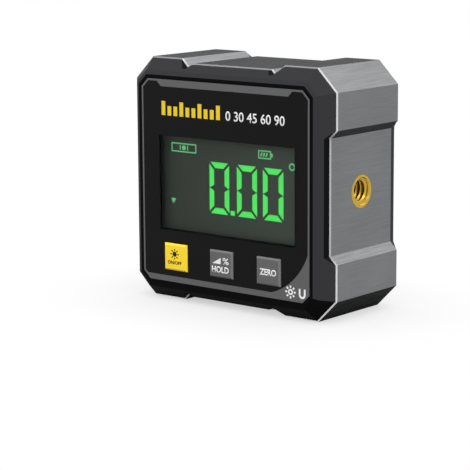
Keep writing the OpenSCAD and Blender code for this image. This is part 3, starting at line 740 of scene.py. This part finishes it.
class GAUGE_OT_add_panel_print(bpy.types.Operator):
    """Grey border, bars and corner field on the front panel, black edge on the window"""

    bl_idname = "gauge.add_panel_print"
    bl_label = "Add panel print"

    def execute(self, context):
        sizes = context.scene.gauge_print
        inset, line = sizes.border_inset / MM, sizes.border / MM
        w, h = PANEL_HALF_W - inset, PANEL_HALF_H - inset
        # An inset shortens the legs of a 45 degree corner cut by this share of the inset
        share = 2 - math.sqrt(2)
        c = sizes.corner_cut / MM - share * inset
        bm = bmesh.new()
        corners = [
            (w - c, h), (w, h - c), (w, c - h), (w - c, -h), (c - w, -h), (-w, c - h), (-w, h - c), (c - w, h)
        ]
        hollow(bm, outline(bm, corners, PANEL_Y), line)
        w, h, c = w - line, h - line, c - share * line
        bar = sizes.top_bar / MM
        top = w - sizes.top_bar_side / MM
        outline(bm, [(-top, h), (bar - top, h - bar), (top - bar, h - bar), (top, h)], PANEL_Y)
        # The corner field's hollow edge is an arc that meets the band and the right border
        radius = sizes.corner_radius / MM
        band = sizes.foot_band / MM - h
        mid_x, mid_z = CORNER_FIELD_MIDDLE
        low_x = mid_x + math.sqrt(radius**2 - (band - mid_z) ** 2)
        high_z = mid_z - math.sqrt(radius**2 - (w - mid_x) ** 2)
        turn = math.atan2(high_z - mid_z, w - mid_x) - math.atan2(band - mid_z, low_x - mid_x)
        start = bm.verts.new(at(low_x, PANEL_Y, band))
        bmesh.ops.spin(
            bm, geom=[start], cent=at(mid_x, PANEL_Y, mid_z), axis=(0, -1, 0), dvec=(0, 0, 0),
            angle=turn, steps=24, use_duplicate=False,
        )
        edge = sorted((v for v in bm.verts if not v.link_faces), key=lambda v: v.co.z)
        rest = [(w, c - h), (w - c, -h), (c - w, -h), (c - w - (band + h), band)]
        bm.faces.new([*edge, *(bm.verts.new(at(x, PANEL_Y, z)) for x, z in rest)])
        raise_film(bm, sizes.film)
        ink = printed_ink("screen_printed_grey_ink", context.scene.gauge_colours.print_grey)
        new_piece("panel_print", bm, ink, "housing")
        # The window's edge is printed black, so that the panel seems to run up to the display
        low, high = ((corner - at(0, 0, 0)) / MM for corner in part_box("display_window"))
        lap = sizes.window_lap / MM
        line = lap + sizes.window_border / MM
        # At the left the black edge is wider: a dark band painted over the shade of the opening's left wall
        left = low.x + sizes.window_left / MM - line
        bm = bmesh.new()
        hollow(bm, rectangle(bm, left, high.x + lap, low.z - lap, high.z + lap, PANEL_Y), line)
        rectangle(bm, low.x - lap, left, low.z - lap, high.z + lap, PANEL_Y)
        raise_film(bm, sizes.film)
        new_piece("window_border", bm, nodes["front_panel"].data.materials[0], "housing")
        return {"FINISHED"}


class GAUGE_OT_add_scale_print(bpy.types.Operator):
    """Yellow graduation and white numbers over the display"""

    bl_idname = "gauge.add_scale_print"
    bl_label = "Add scale print"

    def execute(self, context):
        sizes = context.scene.gauge_print
        colours = context.scene.gauge_colours
        bm = bmesh.new()
        for i in range(TICK_COUNT):
            x = TICKS_LEFT + i * sizes.tick_pitch / MM
            height = sizes.tick_short if i % 3 else sizes.tick_long
            rectangle(bm, x, x + sizes.tick_width / MM, SCALE_FOOT, SCALE_FOOT + height / MM, PANEL_Y)
        raise_film(bm, sizes.film)
        ink = printed_ink("screen_printed_yellow_ink", colours.print_yellow)
        new_piece("scale_ticks", bm, ink, "housing")
        bm = bmesh.new()
        top = SCALE_FOOT + sizes.number_height / MM
        lettering(bm, "0 30 45 60 90", NUMBERS_LEFT, NUMBERS_RIGHT, SCALE_FOOT, top, PANEL_Y, LIGHT)
        raise_film(bm, sizes.film)
        ink = printed_ink("screen_printed_white_ink", colours.print_white)
        new_piece("scale_numbers", bm, ink, "housing")
        return {"FINISHED"}


class GAUGE_OT_add_corner_signs(bpy.types.Operator):
    """White lamp and magnet signs in the corner field"""

    bl_idname = "gauge.add_corner_signs"
    bl_label = "Add corner signs"

    def execute(self, context):
        sizes = context.scene.gauge_print
        line = sizes.sign_line / MM
        front = PANEL_Y - sizes.film
        bm = bmesh.new()
        hollow(bm, disc(bm, *LAMP_SIGN, LAMP_RADIUS, front), line * LAMP_LINE)
        rays(bm, *LAMP_SIGN, *LAMP_RAYS, line, RAY_COUNT, front)
        # A horseshoe magnet, open at the top
        left, right, foot, top = MAGNET_BOX
        leg = rectangle(bm, left, left + MAGNET_LEG, foot, top, front)
        rectangle(bm, right - MAGNET_LEG, right, foot, top, front)
        low = min(leg.edges, key=lambda e: e.verts[0].co.z + e.verts[1].co.z)
        bmesh.ops.spin(
            bm, geom=[low, *low.verts], cent=at((left + right) / 2, front, foot), axis=(0, -1, 0),
            dvec=(0, 0, 0), angle=math.pi, steps=16, use_duplicate=False,
        )
        raise_film(bm, sizes.film)
        ink = printed_ink("screen_printed_sign_ink", context.scene.gauge_colours.print_white)
        new_piece("corner_signs", bm, ink, "housing")
        return {"FINISHED"}


class GAUGE_OT_add_display_marks(bpy.types.Operator):
    """Lit digits and small marks on the display glass"""

    bl_idname = "gauge.add_display_marks"
    bl_label = "Add display marks"

    def execute(self, context):
        sizes = context.scene.gauge_display
        colours = context.scene.gauge_colours
        film = context.scene.gauge_print.film
        half, stroke, gap = (s / MM for s in (sizes.digit_width / 2, sizes.stroke, sizes.gap))
        slip = sizes.slip / MM
        flat = half - slip
        top, foot = sizes.digit_top / MM, -sizes.digit_foot / MM
        middle = (top + foot) / 2
        bm = bmesh.new()
        # Three zeros: the six outer segments, mitred at the corners and pointed at the middle
        for x in DIGIT_MIDDLES:
            for end, s in ((top, 1), (foot, -1)):
                inner = end - s * stroke
                mitre = end - s * (slip + gap)
                points = [
                    (x - flat, end), (x + flat, end), (x + flat - stroke, inner), (x - flat + stroke, inner)
                ]
                outline(bm, points, GLASS_Y)
                for t in (-1, 1):
                    side = x + t * half
                    points = [
                        (side, mitre), (side, middle + s * gap),
                        (side - t * TIP_STEP, middle + s * gap * TIP_GAP),
                        (side - t * stroke, middle + s * TIP_REACH), (side - t * stroke, mitre - s * stroke),
                    ]
                    outline(bm, points, GLASS_Y)
        rectangle(bm, *DECIMAL_BOX, GLASS_Y)
        raise_film(bm, film)
        lit = lit_segment("lit_green_segment", colours.segment_lit, strength=0.97)
        new_piece("display_digits", bm, lit, "housing")
        line = sizes.mark_line / MM
        bm = bmesh.new()
        hollow(bm, disc(bm, *DEGREE_MARK, DEGREE_RADIUS, GLASS_Y), line * DEGREE_LINE)
        outline(bm, POINTER, GLASS_Y)
        # Battery mark with its charge bars
        hollow(bm, rectangle(bm, *BATTERY_BOX, GLASS_Y), line)
        rectangle(bm, *BATTERY_TIP, GLASS_Y)
        for x in CHARGE_LEFTS:
            right, lean = x + CHARGE_WIDTH, CHARGE_LEAN
            foot, top = CHARGE_HEIGHTS
            outline(bm, [(x, foot), (right, foot), (right + lean, top), (x + lean, top)], GLASS_Y)
        # Spirit level mark: a vial with its bubble between two lines
        hollow(bm, rectangle(bm, *VIAL_BOX, GLASS_Y), line)
        disc(bm, *VIAL_BUBBLE, BUBBLE_RADIUS, GLASS_Y)
        for x in VIAL_LINES:
            rectangle(bm, x, x + line, *VIAL_HEIGHTS, GLASS_Y)
        raise_film(bm, film)
        lit = lit_segment("lit_pale_mark", colours.mark_lit, strength=0.8)
        new_piece("display_marks", bm, lit, "housing")
        return {"FINISHED"}


class GAUGE_OT_add_key_marks(bpy.types.Operator):
    """Marks printed on the three keys"""

    bl_idname = "gauge.add_key_marks"
    bl_label = "Add key marks"

    def execute(self, context):
        film = context.scene.gauge_print.film
        colours = context.scene.gauge_colours
        dark = printed_ink("pad_printed_dark_ink", colours.print_dark)
        white = printed_ink("pad_printed_white_ink", colours.print_white)
        bm = bmesh.new()
        disc(bm, *SUN_MARK, SUN_RADIUS, KEY_Y)
        rays(bm, *SUN_MARK, *SUN_RAYS, SUN_RAY_WIDTH, RAY_COUNT, KEY_Y)
        lettering(bm, "ON/OFF", *ON_OFF_BOX, KEY_Y, BOLD)
        raise_film(bm, film)
        new_piece("power_mark", bm, dark, "power_key")
        # A slope and a per cent sign, over the word for keeping a reading
        bm = bmesh.new()
        outline(bm, SLOPE_MARK, KEY_Y)
        lettering(bm, "%", *PER_CENT_BOX, KEY_Y, MEDIUM)
        lettering(bm, "HOLD", *HOLD_BOX, KEY_Y, BOLD)
        raise_film(bm, film)
        new_piece("hold_mark", bm, white, "hold_key")
        bm = bmesh.new()
        lettering(bm, "ZERO", *ZERO_BOX, KEY_Y, BOLD)
        raise_film(bm, film)
        new_piece("zero_mark", bm, white, "zero_key")
        return {"FINISHED"}


class GAUGE_OT_add_insert_thread(bpy.types.Operator):
    """Brass insert with the tripod thread cut into it"""

    bl_idname = "gauge.add_insert_thread"
    bl_label = "Add insert thread"

    def execute(self, context):
        sizes = context.scene.gauge_insert
        pitch, crest, root = sizes.pitch, sizes.crest, sizes.root
        middle = (INSERT_LOW + INSERT_HIGH) / 2
        inner, face = INSERT_LOW.x, INSERT_HIGH.x
        sink = face - (sizes.mouth - root)
        # One turn of the thread's section, in shares of the pitch, led round and along the axis.
        # It starts and ends beyond the insert and is then cut square at both ends.
        turns = math.ceil((sink - inner) / pitch) + 3
        start = inner - 2 * pitch
        groove = [(0.0, crest), (0.25, crest), (0.56, root), (0.69, root), (1.0, crest)]
        bm = bmesh.new()
        self.turn(bm, [(start + share * pitch, r) for share, r in groove], middle, turns, pitch)
        bmesh.ops.remove_doubles(bm, verts=bm.verts, dist=WELD)
        for x, sign in ((inner, 1), (sink, -1)):
            bmesh.ops.bisect_plane(
                bm, geom=[*bm.verts, *bm.edges, *bm.faces], plane_co=(x, 0, 0), plane_no=(sign, 0, 0),
                clear_inner=True,
            )
        # The outside, turned, and flat rings that join it to the thread
        collar = inner + sizes.collar
        ring = (INSERT_HIGH.z - INSERT_LOW.z) / 2
        outside = [
            (inner, root + sizes.inner_land), (inner, ring), (collar, ring), (collar, sizes.outer),
            (face, sizes.outer), (face, sizes.mouth), (sink, root + sizes.sink_land),
        ]
        self.turn(bm, outside, middle, 1, 0.0)
        bmesh.ops.remove_doubles(bm, verts=bm.verts, dist=WELD)
        for x in (inner, sink):
            ends = [e for e in bm.edges if e.is_boundary and all(abs(v.co.x - x) < WELD for v in e.verts)]
            bmesh.ops.triangle_fill(bm, edges=ends, use_beauty=True, normal=(1, 0, 0))
        brass = nodes["thread_insert"].data.materials[0]
        piece = new_piece("insert_thread", bm, brass, "housing")
        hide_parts("thread_insert")
        return {"FINISHED"}

    def turn(self, bm, section, middle, turns, advance, steps=48):
        """Spins a section of (x, radius) points round the insert's axis, so many steps a turn."""
        points = [bm.verts.new((x, middle.y, middle.z + r)) for x, r in section]
        lines = [bm.edges.new(pair) for pair in zip(points, points[1:])]
        bmesh.ops.spin(
            bm, geom=[*points, *lines], cent=middle, axis=(1, 0, 0), dvec=(advance / steps, 0, 0),
            angle=2 * math.pi * turns, steps=steps * turns, use_merge=advance == 0, use_duplicate=False,
        )


class GAUGE_OT_build_studio(bpy.types.Operator):
    """Pale floor, soft lamps, even sky and the camera"""

    bl_idname = "gauge.build_studio"
    bl_label = "Build studio"

    def execute(self, context):
        studio = context.scene.gauge_studio
        scene = context.scene
        scene.view_settings.view_transform = "Standard"
        self.add_floor(scene)
        self.add_sky(scene, studio)
        for name, place, size, power in (
            ("key_lamp", (0.75, -0.25, 0.55), 0.6, studio.key_power),
            ("top_lamp", (0.2, 0.65, 0.75), 0.7, studio.top_power),
            ("fill_lamp", (-0.6, -0.8, 0.6), 0.8, studio.fill_power),
        ):
            lamp = bpy.data.lights.new(name, "AREA")
            lamp.shape = "DISK"
            lamp.size = size
            lamp.energy = power
            holder = bpy.data.objects.new(name, lamp)
            holder.location = place
            aim = LAMP_TARGET - Vector(place)
            holder.rotation_euler = aim.to_track_quat("-Z", "Y").to_euler()
            scene.collection.objects.link(holder)
        self.add_camera(scene, studio)
        return {"FINISHED"}

    def add_floor(self, scene):
        """A paper floor that shows as white, with the object's soft shadow on it."""
        bm = bmesh.new()
        bmesh.ops.create_grid(bm, x_segments=1, y_segments=1, size=FLOOR_HALF)
        mesh = bpy.data.meshes.new("floor")
        bm.to_mesh(mesh)
        bm.free()
        floor = bpy.data.objects.new("floor", mesh)
        scene.collection.objects.link(floor)
        material, place = new_material("white_paper_floor")
        fibre = add_node(
            material, "ShaderNodeTexNoise",
            {"Vector": place.outputs["Object"], "Scale": 1 / (40 * MM), "Detail": 2.0},
        )
        tone = add_node(
            material, "ShaderNodeMix",
            {0: fibre.outputs["Fac"], 6: linear("#a2a2a2"), 7: linear("#aaaaaa")}, data_type="RGBA",
        )
        paper = add_node(material, "ShaderNodeBsdfDiffuse", {"Color": tone.outputs[2]})
        white = add_node(material, "ShaderNodeEmission", {"Color": (1, 1, 1, 1), "Strength": 1.0})
        # Rays from the camera, off metal or through glass see white paper.
        # Close to the object the paper keeps its own shading, and so the shadow, deepest in reflections.
        path = add_node(material, "ShaderNodeLightPath")
        direct = add_node(
            material, "ShaderNodeMath",
            {0: path.outputs["Is Camera Ray"], 1: path.outputs["Is Glossy Ray"]}, operation="MAXIMUM",
        )
        seen = add_node(
            material, "ShaderNodeMath",
            {0: direct.outputs["Value"], 1: path.outputs["Is Transmission Ray"]}, operation="MAXIMUM",
        )
        open_sky = add_node(material, "ShaderNodeAmbientOcclusion", {"Distance": SHADOW_REACH})
        least = add_node(
            material, "ShaderNodeMath",
            {0: path.outputs["Is Camera Ray"], 1: SHADOW_WHITE}, operation="MULTIPLY",
        )
        kept = add_node(
            material, "ShaderNodeMapRange",
            {"Value": open_sky.outputs["AO"], "To Min": least.outputs["Value"]},
        )
        share = add_node(
            material, "ShaderNodeMath",
            {0: seen.outputs["Value"], 1: kept.outputs["Result"]}, operation="MULTIPLY",
        )
        mixed = add_node(
            material, "ShaderNodeMixShader",
            {0: share.outputs["Value"], 1: paper.outputs["BSDF"], 2: white.outputs["Emission"]},
        )
        add_node(material, "ShaderNodeOutputMaterial", {"Surface": mixed.outputs["Shader"]})
        mesh.materials.append(material)

    def add_sky(self, scene, studio):
        """An even plain light all round, which shows as white."""
        sky = bpy.data.worlds.new("studio_sky")
        sky.use_nodes = True
        sky.node_tree.nodes.clear()
        light = add_node(sky, "ShaderNodeBackground", {"Color": (1, 1, 1, 1), "Strength": studio.sky})
        add_node(sky, "ShaderNodeOutputWorld", {"Surface": light.outputs["Background"]})
        scene.world = sky

    def add_camera(self, scene, studio):
        """The photograph's viewpoint, as fitted to the object's corners."""
        az, el, roll = studio.azimuth, studio.elevation, studio.roll
        back = Vector((math.sin(az) * math.cos(el), -math.cos(az) * math.cos(el), math.sin(el)))
        level = Vector((math.cos(az), math.sin(az), 0.0))
        up = back.cross(level)
        across = math.cos(roll) * level + math.sin(roll) * up
        upright = math.cos(roll) * up - math.sin(roll) * level
        lens = bpy.data.cameras.new("camera")
        lens.lens = studio.lens
        lens.sensor_width = SENSOR_WIDTH
        lens.clip_start = 0.01
        camera = bpy.data.objects.new("camera", lens)
        turned = Matrix((across, upright, back)).transposed().to_4x4()
        camera.matrix_world = Matrix.Translation(studio.camera_place) @ turned
        scene.collection.objects.link(camera)
        scene.camera = camera


class GAUGE_PT_sidebar(bpy.types.Panel):
    """The gauge's steps in the sidebar"""

    bl_label = "Digital angle gauge"
    bl_idname = "GAUGE_PT_sidebar"
    bl_space_type = "VIEW_3D"
    bl_region_type = "UI"
    bl_category = "Gauge"

    def draw(self, context):
        for step in STEPS:
            self.layout.operator(step.bl_idname)
        for name in GROUPS:
            group = getattr(context.scene, name)
            box = self.layout.box()
            for key in group.bl_rna.properties.keys():
                if key not in ("rna_type", "name"):
                    box.prop(group, key)


STEPS = (
    GAUGE_OT_dress_metal, GAUGE_OT_dress_mouldings, GAUGE_OT_dress_display, GAUGE_OT_dress_inside,
    GAUGE_OT_add_panel_print, GAUGE_OT_add_scale_print, GAUGE_OT_add_corner_signs, GAUGE_OT_add_display_marks,
    GAUGE_OT_add_key_marks, GAUGE_OT_add_insert_thread, GAUGE_OT_build_studio,
)
GROUPS = {
    "gauge_colours": GaugeColours, "gauge_print": GaugePrint, "gauge_display": GaugeDisplay,
    "gauge_insert": GaugeInsert, "gauge_studio": GaugeStudio,
}


def register():
    """Makes the settings, the steps and the panel known."""
    for item in (*GROUPS.values(), *STEPS, GAUGE_PT_sidebar):
        bpy.utils.register_class(item)
    for name, group in GROUPS.items():
        setattr(bpy.types.Scene, name, PointerProperty(type=group))


def unregister():
    """Takes them away again."""
    for name in GROUPS:
        delattr(bpy.types.Scene, name)
    for item in reversed((*GROUPS.values(), *STEPS, GAUGE_PT_sidebar)):
        bpy.utils.unregister_class(item)


def main():
    """Runs every step in order."""
    register()
    bpy.ops.gauge.dress_metal()
    bpy.ops.gauge.dress_mouldings()
    bpy.ops.gauge.dress_display()
    bpy.ops.gauge.dress_inside()
    bpy.ops.gauge.add_panel_print()
    bpy.ops.gauge.add_scale_print()
    bpy.ops.gauge.add_corner_signs()
    bpy.ops.gauge.add_display_marks()
    bpy.ops.gauge.add_key_marks()
    bpy.ops.gauge.add_insert_thread()
    bpy.ops.gauge.build_studio()


if __name__ == "__main__":
    main()
